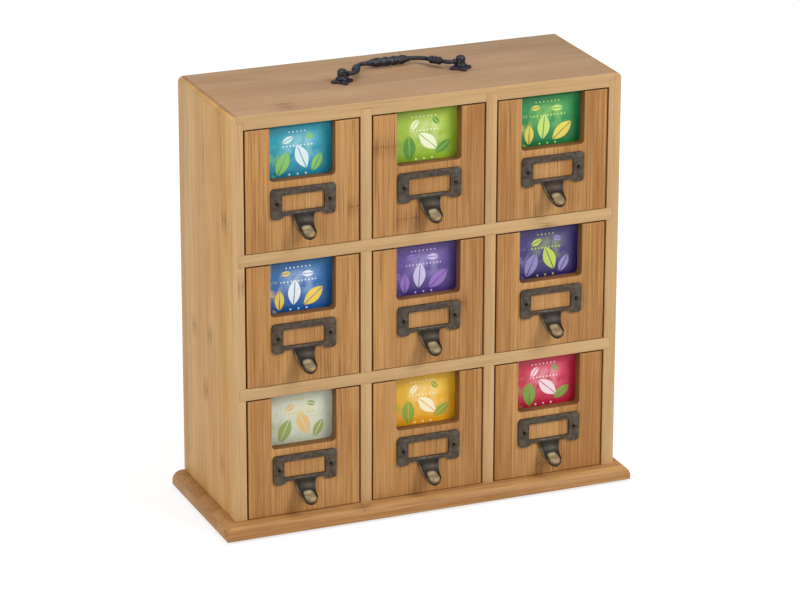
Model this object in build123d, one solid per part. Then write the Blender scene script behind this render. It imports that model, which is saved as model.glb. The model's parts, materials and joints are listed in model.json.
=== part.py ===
from build123d import *
import math
import os

# Tea bag drawer box: a bamboo tabletop cabinet with nine small drawers on a moulded base.
# Millimetres. +Z is up, the drawers open towards -Y, X = 0 is the middle of the width and
# Z = 0 is the surface that the four feet stand on.

# --- cabinet -------------------------------------------------------------------------
CABINET_WIDTH = 290.0
CABINET_DEPTH = 106.0
SIDE_THICKNESS = 9.0
TOP_THICKNESS = 10.0
SHELF_THICKNESS = 8.5
DIVIDER_THICKNESS = 8.0
BACK_THICKNESS = 4.0
CELL_HEIGHT = 89.0
CORNER_RADIUS = 4.0           # outer top edge of each side
LAP_SHARE = 0.5               # share of a board's thickness that a lap, rebate or housing takes
FACETS = 8                    # flats round the forged ironwork and the small fasteners
FOOT_FACETS = 16              # flats round a moulded foot

# --- base board and feet -------------------------------------------------------------
BASE_THICKNESS = 10.0
BASE_SIDE_OVERHANG = 9.5
BASE_FRONT_OVERHANG = 10.5
BASE_EDGE_RADIUS = 7.0        # round-over of the three visible top edges
FOOT_DIAMETER = 11.0
FOOT_HEIGHT = 2.0
FOOT_INSET = 10.0             # from the base board's edges to a foot's centre

# --- base screws ---------------------------------------------------------------------
SCREW_RADIUS = 1.5
SCREW_LENGTH = 28.0
SCREW_HEAD_RADIUS = 3.0
SCREW_HEAD_HEIGHT = 2.2
SCREW_INSET = 27.0            # from the cabinet's front and back planes
SCREW_CLEARANCE = 0.05

# --- drawers -------------------------------------------------------------------------
DRAWER_SIDE_GAP = 1.2         # each side of a drawer front
DRAWER_TOP_GAP = 1.0
DRAWER_BOTTOM_GAP = 0.3
DRAWER_BACK_GAP = 1.5
FRONT_THICKNESS = 8.0
FRONT_EDGE = 0.5              # softened front edges
NOTCH_WIDTH = 48.0
NOTCH_DEPTH = 38.0
NOTCH_RADIUS = 3.0
BOX_SIDE_THICKNESS = 5.0
BOX_BACK_THICKNESS = 5.0
BOX_SIDE_DROP = 8.0           # how far the box's walls stay below the front's top edge
FRONT_REBATE = 4.0            # depth of the rebates that take the box's sides
BOTTOM_THICKNESS = 3.0
BOTTOM_RAISE = 3.0            # height of the bottom panel above the sides' lower edges
GROOVE_DEPTH = 2.5

# --- label pulls ---------------------------------------------------------------------
WINDOW_WIDTH = 31.0
WINDOW_HEIGHT = 12.0
PULL_STILE = 8.15             # metal at each side of the window
PULL_UPPER_RAIL = 4.7         # above the window
PULL_LOWER_RAIL = 2.7         # below the window, at the middle of the lower edge
PULL_THICKNESS = 1.6
PULL_CORNER_RADIUS = 2.6
PULL_BELOW_NOTCH = 5.0
LOBE_WIDTH = 7.5
LOBE_DROP = 2.2               # how far the lobes hang below the middle of the lower edge
LOBE_BLEND = 2.6              # width of the slope between lobe and middle
TONGUE_ROOT_WIDTH = 17.5
TONGUE_TIP_WIDTH = 11.6
TONGUE_TIP_FLAT = 1.6         # straight stretch between the tip's two rounded corners
TONGUE_HOLLOW_RADIUS = 13.0   # the curve that leads the tongue away from the drawer
TONGUE_NOSE_RADIUS = 5.4      # the curve that turns its tip down again
TONGUE_SWEEP = 74.0           # steepest angle of the tongue from upright, degrees
PIN_FROM_WINDOW = 3.8         # from the window's side edge to a pin's axis
PIN_SQUARE = 1.5              # across the flats of a pin's square shank
PIN_COVER = 1.0               # wood left behind a pin's end
PIN_HEAD_RADIUS = 1.6
PIN_HEAD_HEIGHT = 0.8
PIN_HEAD_TAPER = 38.0         # slope of the head's eight forged facets, degrees
PIN_CLEARANCE = 0.06

# --- tea sachets ---------------------------------------------------------------------
SACHET_EDGE_THICKNESS = 0.6
SACHET_THICKNESS = 2.4
SACHET_MARGIN = 6.0           # flat sealed edge round the filled middle
SACHET_COUNT = 3
SACHET_GAP = 0.4              # between neighbouring sachets
SACHET_FRONT_GAP = 1.2        # between the drawer front and the first sachet
SACHET_FLOOR_GAP = 0.3
SACHET_SIDE_GAP = 3.5         # to the box's sides
SACHET_TOP_GAP = 1.9          # below the drawer front's top edge

# --- carrying handle -----------------------------------------------------------------
HANDLE_SPACING = 89.0
HANDLE_SETBACK = 50.0         # from the cabinet's front plane to the hinge axis
HINGE_HEIGHT = 5.6            # hinge axis above the top panel
ROSETTE_POINT = 8.2
ROSETTE_WAIST = 5.5
ROSETTE_THICKNESS = 2.6
ROSETTE_CHAMFER = 0.7
POST_RADIUS = 3.4
POST_HEIGHT = 9.8             # top of the dome above the top panel
POST_DOME = 2.5               # height of the dome
POST_CROWN = 1.0              # height of the dome's flatter upper part
POST_CROWN_RADIUS = 2.5
POST_TIP_RADIUS = 1.25
POST_FOOT_RADIUS = 4.6
STUD_RADIUS = 1.4
STUD_LENGTH = 18.0            # below the rosette
STUD_CLEARANCE = 0.05
BAIL_RADIUS = 1.5
BAIL_PIN_CLEARANCE = 0.06
BAIL_PIN_LENGTH = 6.0         # round pin, centred in its post
BAIL_NECK = 3.8               # straight rod between a pin and the bend beside it
BAIL_REACH = 24.0             # hinge axis to grip axis
BAIL_LEAN = 12.0              # how far an arm leans in on its way to the grip
BAIL_END_BEND = 4.0
BAIL_GRIP_BEND = 9.0
BAIL_REST_GAP = 0.3           # grip above the top panel when the bail is folded down
GRIP_SQUARE = 5.0             # across the flats of the twisted bar
GRIP_TWIST = 360.0            # degrees over the grip's length
GRIP_TAPER = 5.0              # square taper between the twisted bar and the bend beside it
GRIP_END_SQUARE = 1.9         # the taper's small end, inside the plain rod
KNOT_RADIUS = 2.9
KNOT_WAIST = 2.2
KNOT_BEAD = 3.4               # length of one bead of a knot
KNOT_BEADS = 3
KNOT_PLACE = 0.44             # share of the reach at which a knot's middle sits

ROW_NAMES = ("bottom", "middle", "top")
COLUMN_NAMES = ("left", "centre", "right")

# --- derived places ------------------------------------------------------------------
ROWS = len(ROW_NAMES)
COLUMNS = len(COLUMN_NAMES)
SIDE_LAP = SIDE_THICKNESS * LAP_SHARE
TOP_LAP = TOP_THICKNESS * LAP_SHARE
CELL_WIDTH = (CABINET_WIDTH - 2 * SIDE_THICKNESS - (COLUMNS - 1) * DIVIDER_THICKNESS) / COLUMNS

PULL_MIDDLE = -PULL_THICKNESS / 2
PULL_TIP_Y = (PULL_MIDDLE - TONGUE_HOLLOW_RADIUS * (1 - math.cos(math.radians(TONGUE_SWEEP)))
              - TONGUE_NOSE_RADIUS * (1 - math.cos(math.radians(TONGUE_SWEEP))))
PULL_REACH = PULL_THICKNESS / 2 - PULL_TIP_Y
FRONT_REACH = max(PULL_REACH, BASE_FRONT_OVERHANG)

Y_FRONT = (FRONT_REACH - CABINET_DEPTH) / 2
Y_BACK = Y_FRONT + CABINET_DEPTH
Y_INNER_BACK = Y_BACK - BACK_THICKNESS
Y_LAP = (Y_FRONT + Y_INNER_BACK) / 2
Y_HINGE = Y_FRONT + HANDLE_SETBACK

X_OUTER = CABINET_WIDTH / 2
X_INNER = X_OUTER - SIDE_THICKNESS
X_LAP = X_OUTER - SIDE_LAP

Z_BASE = FOOT_HEIGHT + BASE_THICKNESS
Z_CEILING = Z_BASE + ROWS * CELL_HEIGHT + (ROWS - 1) * SHELF_THICKNESS
Z_TOP = Z_CEILING + TOP_THICKNESS
Z_TOP_LAP = Z_TOP - TOP_LAP
Z_HINGE = Z_TOP + HINGE_HEIGHT

CELL_PITCH_X = CELL_WIDTH + DIVIDER_THICKNESS
CELL_PITCH_Z = CELL_HEIGHT + SHELF_THICKNESS
CELL_X = [(c - (COLUMNS - 1) / 2) * CELL_PITCH_X for c in range(COLUMNS)]
CELL_Z = [Z_BASE + r * CELL_PITCH_Z for r in range(ROWS)]
DIVIDER_X = [x + CELL_PITCH_X / 2 for x in CELL_X[:-1]]
SHELF_Z = [z + CELL_HEIGHT for z in CELL_Z[:-1]]

FRONT_WIDTH = CELL_WIDTH - 2 * DRAWER_SIDE_GAP
FRONT_HEIGHT = CELL_HEIGHT - DRAWER_TOP_GAP - DRAWER_BOTTOM_GAP
DRAWER_LENGTH = CABINET_DEPTH - BACK_THICKNESS - DRAWER_BACK_GAP
NOTCH_Z = FRONT_HEIGHT - NOTCH_DEPTH
BOX_WALL_HEIGHT = FRONT_HEIGHT - BOX_SIDE_DROP
BOX_FLOOR_Z = BOTTOM_RAISE + BOTTOM_THICKNESS

PULL_WIDTH = WINDOW_WIDTH + 2 * PULL_STILE
PULL_TOP_Z = NOTCH_Z - PULL_BELOW_NOTCH
WINDOW_TOP_Z = PULL_TOP_Z - PULL_UPPER_RAIL
WINDOW_BOTTOM_Z = WINDOW_TOP_Z - WINDOW_HEIGHT
PULL_BOTTOM_Z = WINDOW_BOTTOM_Z - PULL_LOWER_RAIL
LOBE_BOTTOM_Z = PULL_BOTTOM_Z - LOBE_DROP
PIN_X = WINDOW_WIDTH / 2 + PIN_FROM_WINDOW
PIN_Z = (WINDOW_TOP_Z + WINDOW_BOTTOM_Z) / 2
PIN_DEPTH = FRONT_THICKNESS - PIN_COVER

SACHET_WIDTH = FRONT_WIDTH - 2 * (BOX_SIDE_THICKNESS + SACHET_SIDE_GAP)
SACHET_BOTTOM_Z = BOX_FLOOR_Z + SACHET_FLOOR_GAP
SACHET_TOP_Z = FRONT_HEIGHT - SACHET_TOP_GAP

GRIP_RADIUS = GRIP_SQUARE * math.sqrt(0.5)
BAIL_TURN = math.atan2(BAIL_REACH, BAIL_LEAN)
BAIL_PIN_X = (HANDLE_SPACING - BAIL_PIN_LENGTH) / 2
BAIL_ARM_X = BAIL_PIN_X - BAIL_NECK - BAIL_END_BEND * math.tan(BAIL_TURN / 2)
BAIL_CORNER_X = BAIL_ARM_X - BAIL_LEAN
GRIP_HALF = BAIL_CORNER_X - BAIL_GRIP_BEND * math.tan(BAIL_TURN / 2) - GRIP_TAPER
BAIL_DROOP = math.degrees(math.asin((HINGE_HEIGHT - GRIP_RADIUS - BAIL_REST_GAP) / BAIL_REACH))


# --- helpers -------------------------------------------------------------------------
def block(x0, x1, y0, y1, z0, z1):
    """A square-edged board between two opposite corners."""
    return Pos(x0, y0, z0) * Box(x1 - x0, y1 - y0, z1 - z0, align=(Align.MIN,) * 3)


def rectangle(x0, x1, z0, z1):
    """A rectangle between two opposite corners of a sketch."""
    return Pos((x0 + x1) / 2, (z0 + z1) / 2) * Rectangle(x1 - x0, z1 - z0)


def board_from_front_view(outline, y_front, y_back):
    """Carry an outline drawn in the front view (X, Z) from one depth to another."""
    return extrude(Plane.XZ.offset(-y_back) * outline, amount=y_back - y_front)


def faceted(radius):
    """The section of a forged bar or a small fastener, its flats square to the axes."""
    return Rot(0, 0, 180 / FACETS) * RegularPolygon(radius, FACETS)


def faceted_rod(x, y, z, radius, length):
    """An upright faceted bar that starts at a point and runs up."""
    return Pos(x, y, z) * extrude(faceted(radius), amount=length)


def faceted_cone(z, radius, z_end, radius_end):
    """A faceted bar on the Z axis that tapers from one height to another."""
    return loft([Pos(0, 0, z) * faceted(radius), Pos(0, 0, z_end) * faceted(radius_end)])


def corner_at(sketch, x, z):
    """The outline's corner nearest to a point."""
    return sketch.vertices().sort_by_distance((x, z, 0))[0]


def rounded(sketch, corners):
    """Round named corners of an outline, each (x, z, radius)."""
    for x, z, radius in corners:
        sketch = fillet(corner_at(sketch, x, z), radius)
    return sketch


# --- cabinet boards ------------------------------------------------------------------
def screw_places():
    """Base screws: two into the foot of each side."""
    side_x = X_OUTER - SIDE_THICKNESS / 2
    return [(s * side_x, y) for s in (-1, 1) for y in (Y_FRONT + SCREW_INSET, Y_BACK - SCREW_INSET)]


def base_screw(x, y, slack=0.0):
    """A countersunk screw standing head down, or its hole when it is given some slack."""
    head = faceted_cone(FOOT_HEIGHT, SCREW_HEAD_RADIUS + slack,
                        FOOT_HEIGHT + SCREW_HEAD_HEIGHT, SCREW_RADIUS + slack)
    return Pos(x, y, 0) * head + faceted_rod(x, y, FOOT_HEIGHT, SCREW_RADIUS + slack, SCREW_LENGTH + slack)


def screw_holes():
    return [base_screw(x, y, SCREW_CLEARANCE) for x, y in screw_places()]


def base_board():
    """A board proud of the cabinet on three sides, its moulded top edges meeting in mitres."""
    half = X_OUTER + BASE_SIDE_OVERHANG
    y_nose = Y_FRONT - BASE_FRONT_OVERHANG
    front_view = rectangle(-half, half, FOOT_HEIGHT, Z_BASE)
    front_view = rounded(front_view, [(s * half, Z_BASE, BASE_EDGE_RADIUS) for s in (-1, 1)])
    side_view = rectangle(y_nose, Y_BACK, FOOT_HEIGHT, Z_BASE)
    side_view = rounded(side_view, [(y_nose, Z_BASE, BASE_EDGE_RADIUS)])
    board = board_from_front_view(front_view, y_nose, Y_BACK)
    board &= extrude(Plane.YZ * side_view, amount=half, both=True)
    return board - screw_holes()


def side_panel():
    """Left side: its outer half laps round the end of the top, its inner face is housed."""
    outline = rectangle(-X_OUTER, -X_INNER, Z_BASE, Z_TOP)
    outline -= rectangle(-X_LAP, -X_INNER, Z_TOP_LAP, Z_TOP)
    outline = rounded(outline, [(-X_OUTER, Z_TOP, CORNER_RADIUS)])
    panel = board_from_front_view(outline, Y_FRONT, Y_BACK)
    for z in SHELF_Z:
        panel -= block(-X_LAP, -X_INNER, Y_FRONT, Y_INNER_BACK, z, z + SHELF_THICKNESS)
    panel -= block(-X_LAP, -X_INNER, Y_INNER_BACK, Y_BACK, Z_BASE, Z_TOP)
    return panel - screw_holes()


def stud_holes():
    """Holes for the two handle studs, through the top and into whatever lies below."""
    bottom = Z_TOP + ROSETTE_THICKNESS - STUD_LENGTH - STUD_CLEARANCE
    return [faceted_rod(s * HANDLE_SPACING / 2, Y_HINGE, bottom, STUD_RADIUS + STUD_CLEARANCE, STUD_LENGTH)
            for s in (-1, 1)]


def top_panel():
    """Top: its upper half laps over the sides, and its underside is housed for the dividers."""
    outline = rectangle(-X_INNER, X_INNER, Z_CEILING, Z_TOP)
    outline += rectangle(-X_LAP, X_LAP, Z_TOP_LAP, Z_TOP)
    panel = board_from_front_view(outline, Y_FRONT, Y_BACK)
    for x in DIVIDER_X:
        half = DIVIDER_THICKNESS / 2
        panel -= block(x - half, x + half, Y_FRONT, Y_INNER_BACK, Z_CEILING, Z_TOP_LAP)
    panel -= block(-X_INNER, X_INNER, Y_INNER_BACK, Y_BACK, Z_CEILING, Z_TOP_LAP)
    return panel - stud_holes()


def back_panel():
    """Back: a thin sheet let into the rebates of the sides and the top."""
    return block(-X_LAP, X_LAP, Y_INNER_BACK, Y_BACK, Z_BASE, Z_TOP_LAP)


def shelf(z):
    """A shelf, slotted from the back so that the dividers cross it."""
    board = block(-X_LAP, X_LAP, Y_FRONT, Y_INNER_BACK, z, z + SHELF_THICKNESS)
    for x in DIVIDER_X:
        half = DIVIDER_THICKNESS / 2
        board -= block(x - half, x + half, Y_LAP, Y_INNER_BACK, z, z + SHELF_THICKNESS)
    return board


def divider(x):
    """A divider, slotted from the front so that the shelves cross it."""
    half = DIVIDER_THICKNESS / 2
    board = block(x - half, x + half, Y_FRONT, Y_INNER_BACK, Z_BASE, Z_TOP_LAP)
    for z in SHELF_Z:
        board -= block(x - half, x + half, Y_FRONT, Y_LAP, z, z + SHELF_THICKNESS)
    return board - stud_holes()


def rubber_feet():
    """Four thin stick-on feet."""
    x_foot = X_OUTER + BASE_SIDE_OVERHANG - FOOT_INSET
    y_feet = (Y_FRONT - BASE_FRONT_OVERHANG + FOOT_INSET, Y_BACK - FOOT_INSET)
    foot = extrude(RegularPolygon(FOOT_DIAMETER / 2, FOOT_FACETS), amount=FOOT_HEIGHT)
    return [Pos(s * x_foot, y, 0) * foot for s in (-1, 1) for y in y_feet]


# --- one drawer, drawn with its front's lower edge at Z = 0 and its face at Y = 0 ----
def front_pin_places():
    return [(s * PIN_X, PIN_Z) for s in (-1, 1)]


def pin_hole(x, z, depth):
    """A square hole for a pull's pin, from in front of the pull to a depth behind the drawer's face."""
    half = PIN_SQUARE / 2 + PIN_CLEARANCE
    return block(x - half, x + half, -PULL_THICKNESS, depth, z - half, z + half)


def bottom_panel_space():
    """The bottom panel's own volume, which the front, sides and back are grooved for."""
    half = FRONT_WIDTH / 2 - BOX_SIDE_THICKNESS + GROOVE_DEPTH
    y_back = DRAWER_LENGTH - BOX_BACK_THICKNESS + GROOVE_DEPTH
    return block(-half, half, FRONT_THICKNESS - GROOVE_DEPTH, y_back, BOTTOM_RAISE, BOX_FLOOR_Z)


def drawer_front():
    """Front: a thumb notch shows what is inside, and rebates behind take the box's sides."""
    half = FRONT_WIDTH / 2
    outline = rectangle(-half, half, 0, FRONT_HEIGHT)
    outline -= rectangle(-NOTCH_WIDTH / 2, NOTCH_WIDTH / 2, NOTCH_Z, FRONT_HEIGHT)
    outline = rounded(outline, [(s * NOTCH_WIDTH / 2, NOTCH_Z, NOTCH_RADIUS) for s in (-1, 1)])
    front = board_from_front_view(outline, 0, FRONT_THICKNESS)
    face_edges = front.faces().sort_by(Axis.Y)[0].edges().filter_by(GeomType.LINE)
    outer_edges = [e for e in face_edges if abs(e.center().X) > NOTCH_WIDTH / 2 + FRONT_EDGE]
    lower_edge = face_edges.sort_by(Axis.Z)[0]
    front = chamfer([*outer_edges, lower_edge], FRONT_EDGE)
    rebate = block(half - BOX_SIDE_THICKNESS, half, FRONT_THICKNESS - FRONT_REBATE, FRONT_THICKNESS,
                   0, BOX_WALL_HEIGHT)
    front -= [rebate, mirror(rebate, about=Plane.YZ), bottom_panel_space()]
    return front - [pin_hole(x, z, PIN_DEPTH + PIN_CLEARANCE) for x, z in front_pin_places()]


def drawer_box():
    """Two sides, a back between them and a bottom panel held in grooves."""
    half = FRONT_WIDTH / 2
    inner = half - BOX_SIDE_THICKNESS
    y_start = FRONT_THICKNESS - FRONT_REBATE
    y_inner = DRAWER_LENGTH - BOX_BACK_THICKNESS
    bottom = bottom_panel_space()
    right = block(inner, half, y_start, DRAWER_LENGTH, 0, BOX_WALL_HEIGHT) - bottom
    left = mirror(right, about=Plane.YZ)
    back = block(-inner, inner, y_inner, DRAWER_LENGTH, 0, BOX_WALL_HEIGHT) - bottom
    return [left, right, back, bottom]


def pull_plate():
    """A card frame with a lobe at each lower corner, on the drawer's face."""
    half = PULL_WIDTH / 2
    lobe_inner = half - LOBE_WIDTH
    slope_end = lobe_inner - LOBE_BLEND
    right = [(half, PULL_TOP_Z), (half, LOBE_BOTTOM_Z),
             (lobe_inner, LOBE_BOTTOM_Z), (slope_end, PULL_BOTTOM_Z)]
    left = [(-x, z) for x, z in reversed(right)]
    outline = make_face(Polyline(*right, *left, close=True))
    outline = rounded(outline, [(s * half, z, PULL_CORNER_RADIUS)
                                for s in (-1, 1) for z in (PULL_TOP_Z, LOBE_BOTTOM_Z)])
    outline -= rectangle(-WINDOW_WIDTH / 2, WINDOW_WIDTH / 2, WINDOW_BOTTOM_Z, WINDOW_TOP_Z)
    return board_from_front_view(outline, -PULL_THICKNESS, 0)


def tongue_centres():
    """Centres of the tongue's two curves in the side view: the hollow's, then the nose's."""
    turn = math.radians(TONGUE_SWEEP)
    hollow = Vector(PULL_MIDDLE - TONGUE_HOLLOW_RADIUS, WINDOW_BOTTOM_Z)
    reach = TONGUE_HOLLOW_RADIUS + TONGUE_NOSE_RADIUS
    return hollow, hollow + Vector(math.cos(turn), -math.sin(turn)) * reach


def tongue_profile():
    """Side view of the tongue: a hollow curve outwards, then a nose curve down to the tip."""
    half = PULL_THICKNESS / 2
    hollow, nose = tongue_centres()
    outer_1 = CenterArc(hollow, TONGUE_HOLLOW_RADIUS - half, 0, -TONGUE_SWEEP)
    inner_1 = CenterArc(hollow, TONGUE_HOLLOW_RADIUS + half, 0, -TONGUE_SWEEP)
    outer_2 = CenterArc(nose, TONGUE_NOSE_RADIUS + half, 180 - TONGUE_SWEEP, TONGUE_SWEEP)
    inner_2 = CenterArc(nose, TONGUE_NOSE_RADIUS - half, 180 - TONGUE_SWEEP, TONGUE_SWEEP)
    root = Line(outer_1 @ 0, inner_1 @ 0)
    tip = Line(outer_2 @ 1, inner_2 @ 1)
    return make_face([outer_1, outer_2, tip, inner_2, inner_1, root])


def tongue():
    """The finger pull: the side view's curve cut to the front view's tapering outline."""
    z_tip = tongue_centres()[1].Y
    root, tip = TONGUE_ROOT_WIDTH / 2, TONGUE_TIP_WIDTH / 2
    right = [(root, WINDOW_BOTTOM_Z), (root, PULL_BOTTOM_Z), (tip, z_tip)]
    left = [(-x, z) for x, z in reversed(right)]
    outline = make_face(Polyline(*right, *left, close=True))
    outline = rounded(outline, [(s * tip, z_tip, tip - TONGUE_TIP_FLAT / 2) for s in (-1, 1)])
    bent = extrude(Plane.YZ * tongue_profile(), amount=root, both=True)
    return bent & board_from_front_view(outline, -2 * PULL_REACH, PULL_REACH)


def label_pull():
    """The whole pull: frame and finger tongue in one casting, bored for its two pins."""
    pull = pull_plate() + tongue()
    return pull - [pin_hole(x, z, PIN_CLEARANCE) for x, z in front_pin_places()]


def pull_pins():
    """Two square-shanked pins with forged heads, which fix a pull to its drawer front."""
    half = PIN_SQUARE / 2
    shank = block(-half, half, -PULL_THICKNESS, PIN_DEPTH, -half, half)
    head = extrude(Plane.XZ.offset(PULL_THICKNESS) * faceted(PIN_HEAD_RADIUS),
                   amount=PIN_HEAD_HEIGHT, taper=PIN_HEAD_TAPER)
    return [Pos(x, 0, z) * (shank + head) for x, z in front_pin_places()]


def sachets():
    """A few filled tea sachets standing on the drawer's bottom, close behind the front."""
    half = SACHET_WIDTH / 2
    swell = (SACHET_THICKNESS - SACHET_EDGE_THICKNESS) / 2
    envelope = rectangle(-half, half, SACHET_BOTTOM_Z, SACHET_TOP_Z)
    filling = rectangle(-half + SACHET_MARGIN, half - SACHET_MARGIN,
                        SACHET_BOTTOM_Z + SACHET_MARGIN, SACHET_TOP_Z - SACHET_MARGIN)
    sheet = board_from_front_view(envelope, -SACHET_EDGE_THICKNESS / 2, SACHET_EDGE_THICKNESS / 2)
    slope = math.degrees(math.atan(SACHET_MARGIN / 2 / swell))
    front_pad = extrude(Plane.XZ.offset(SACHET_EDGE_THICKNESS / 2) * filling, amount=swell, taper=slope)
    sachet = sheet + front_pad + mirror(front_pad, about=Plane.XZ)
    first = FRONT_THICKNESS + SACHET_FRONT_GAP + SACHET_THICKNESS / 2
    pitch = SACHET_THICKNESS + SACHET_GAP
    return [Pos(0, first + n * pitch, 0) * sachet for n in range(SACHET_COUNT)]


# --- carrying handle -----------------------------------------------------------------
def handle_rosettes():
    """Four-pointed plates with hollow sides, under the posts."""
    points = [(ROSETTE_POINT, 0), (0, ROSETTE_POINT), (-ROSETTE_POINT, 0), (0, -ROSETTE_POINT)]
    waist = ROSETTE_WAIST * math.sqrt(0.5)
    waists = [(waist, waist), (-waist, waist), (-waist, -waist), (waist, -waist)]
    sides = [ThreePointArc(points[n], waists[n], points[(n + 1) % 4]) for n in range(4)]
    plate = extrude(make_face(sides), amount=ROSETTE_THICKNESS)
    plate = chamfer(plate.faces().sort_by(Axis.Z)[-1].edges(), ROSETTE_CHAMFER)
    plate -= faceted_rod(0, 0, 0, STUD_RADIUS + STUD_CLEARANCE, ROSETTE_THICKNESS)
    return [Pos(s * HANDLE_SPACING / 2, Y_HINGE, Z_TOP) * plate for s in (-1, 1)]


def handle_posts():
    """Domed forged posts with a flared foot and a stud, bored across for the bail's pins."""
    z_foot = ROSETTE_THICKNESS
    z_neck = z_foot + POST_FOOT_RADIUS - POST_RADIUS
    z_dome = POST_HEIGHT - POST_DOME
    z_crown = POST_HEIGHT - POST_CROWN
    post = faceted_cone(z_foot, POST_FOOT_RADIUS, z_neck, POST_RADIUS)
    post += faceted_rod(0, 0, z_neck, POST_RADIUS, z_dome - z_neck)
    post += faceted_cone(z_dome, POST_RADIUS, z_crown, POST_CROWN_RADIUS)
    post += faceted_cone(z_crown, POST_CROWN_RADIUS, POST_HEIGHT, POST_TIP_RADIUS)
    post += faceted_rod(0, 0, z_foot - STUD_LENGTH, STUD_RADIUS, STUD_LENGTH)
    post -= Plane(origin=(0, 0, HINGE_HEIGHT), z_dir=(1, 0, 0)) * Cylinder(
        BAIL_RADIUS + BAIL_PIN_CLEARANCE, 2 * POST_FOOT_RADIUS)
    return [Pos(s * HANDLE_SPACING / 2, Y_HINGE, Z_TOP) * post for s in (-1, 1)]


def bail_rod():
    """The bent forged rod: an oblique arm behind each post and the grip line between them."""
    right = [(BAIL_PIN_X, 0), (BAIL_ARM_X, 0), (BAIL_CORNER_X, BAIL_REACH)]
    route = right + [(-x, y) for x, y in reversed(right)]
    path = FilletPolyline(*route, radius=[BAIL_END_BEND, BAIL_GRIP_BEND, BAIL_GRIP_BEND, BAIL_END_BEND])
    return sweep(Plane(origin=path @ 0, z_dir=path % 0) * faceted(BAIL_RADIUS), path=path)


def bail_pins():
    """The round ends of the rod, which turn in the posts."""
    pin = Cylinder(BAIL_RADIUS, BAIL_PIN_LENGTH)
    return [Plane(origin=(s * HANDLE_SPACING / 2, 0, 0), z_dir=(1, 0, 0)) * pin for s in (-1, 1)]


def twisted_grip():
    """A square bar twisted along the grip line."""
    start = Plane(origin=(-GRIP_HALF, BAIL_REACH, 0), z_dir=(1, 0, 0))
    section = (start * Rectangle(GRIP_SQUARE, GRIP_SQUARE)).face()
    return Solid.extrude_linear_with_rotation(
        section, start.origin, start.z_dir * 2 * GRIP_HALF, GRIP_TWIST)


def grip_ends():
    """The square tapers that lead from the twisted bar down to the plain rod."""
    small_end = Pos(0, 0, GRIP_TAPER) * Rectangle(GRIP_END_SQUARE, GRIP_END_SQUARE)
    taper = loft([Rectangle(GRIP_SQUARE, GRIP_SQUARE), small_end])
    return [Plane(origin=(s * GRIP_HALF, BAIL_REACH, 0), z_dir=(s, 0, 0)) * taper for s in (-1, 1)]


def arm_knots():
    """A knot of ridged beads on each oblique arm."""
    knot = Part()
    for n in range(KNOT_BEADS):
        z_start = (n - KNOT_BEADS / 2) * KNOT_BEAD
        z_ridge = z_start + KNOT_BEAD / 2
        knot += faceted_cone(z_start, KNOT_WAIST, z_ridge, KNOT_RADIUS)
        knot += faceted_cone(z_ridge, KNOT_RADIUS, z_start + KNOT_BEAD, KNOT_WAIST)
    middle = (BAIL_ARM_X - KNOT_PLACE * BAIL_LEAN, KNOT_PLACE * BAIL_REACH, 0)
    right = Plane(origin=middle, z_dir=(-BAIL_LEAN, BAIL_REACH, 0)) * knot
    return [right, mirror(right, about=Plane.YZ)]


def handle_bail():
    """The bail, folded back until its grip lies just above the top panel."""
    bail = bail_rod() + bail_pins() + twisted_grip() + grip_ends() + arm_knots()
    return Pos(0, Y_HINGE, Z_HINGE) * Rot(-BAIL_DROOP, 0, 0) * bail


# --- all sub-parts -------------------------------------------------------------------
def cabinet_parts():
    left = side_panel()
    return {
        "base_board": [base_board()],
        "side_panel_left": [left],
        "side_panel_right": [mirror(left, about=Plane.YZ)],
        "top_panel": [top_panel()],
        "back_panel": [back_panel()],
        "shelf_lower": [shelf(SHELF_Z[0])],
        "shelf_upper": [shelf(SHELF_Z[1])],
        "divider_left": [divider(DIVIDER_X[0])],
        "divider_right": [divider(DIVIDER_X[1])],
        "rubber_feet": rubber_feet(),
        "base_screws": [base_screw(x, y) for x, y in screw_places()],
        "handle_rosettes": handle_rosettes(),
        "handle_posts": handle_posts(),
        "handle_bail": [handle_bail()],
    }


def drawer_parts():
    """Every drawer is the same set of pieces, placed in its own cell."""
    pieces = {
        "front": [drawer_front()],
        "box": drawer_box(),
        "pull": [label_pull()],
        "pins": pull_pins(),
        "sachets": sachets(),
    }
    parts = {}
    for r, row in enumerate(ROW_NAMES):
        for c, column in enumerate(COLUMN_NAMES):
            place = Pos(CELL_X[c], Y_FRONT, CELL_Z[r] + DRAWER_BOTTOM_GAP)
            for piece, solids in pieces.items():
                parts[f"drawer_{row}_{column}_{piece}"] = [place * solid for solid in solids]
    return parts


def write_parts():
    os.makedirs("parts", exist_ok=True)
    for name, solids in {**cabinet_parts(), **drawer_parts()}.items():
        shape = solids[0] if len(solids) == 1 else Compound(solids)
        export_step(shape, f"parts/{name}.step")


write_parts()
print(f"hinge axis y {Y_HINGE:.3f} z {Z_HINGE:.3f}, bail droop {BAIL_DROOP:.3f} degrees")
print(f"front plane y {Y_FRONT:.3f}, overall height {Z_TOP + POST_HEIGHT:.2f}")
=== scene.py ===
"""Tea bag drawer box: finishes, ironwork and sachets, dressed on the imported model. Metres, +Z up."""

import json
import math
import random

import bmesh
import bpy
from mathutils import Matrix, Vector

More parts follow.
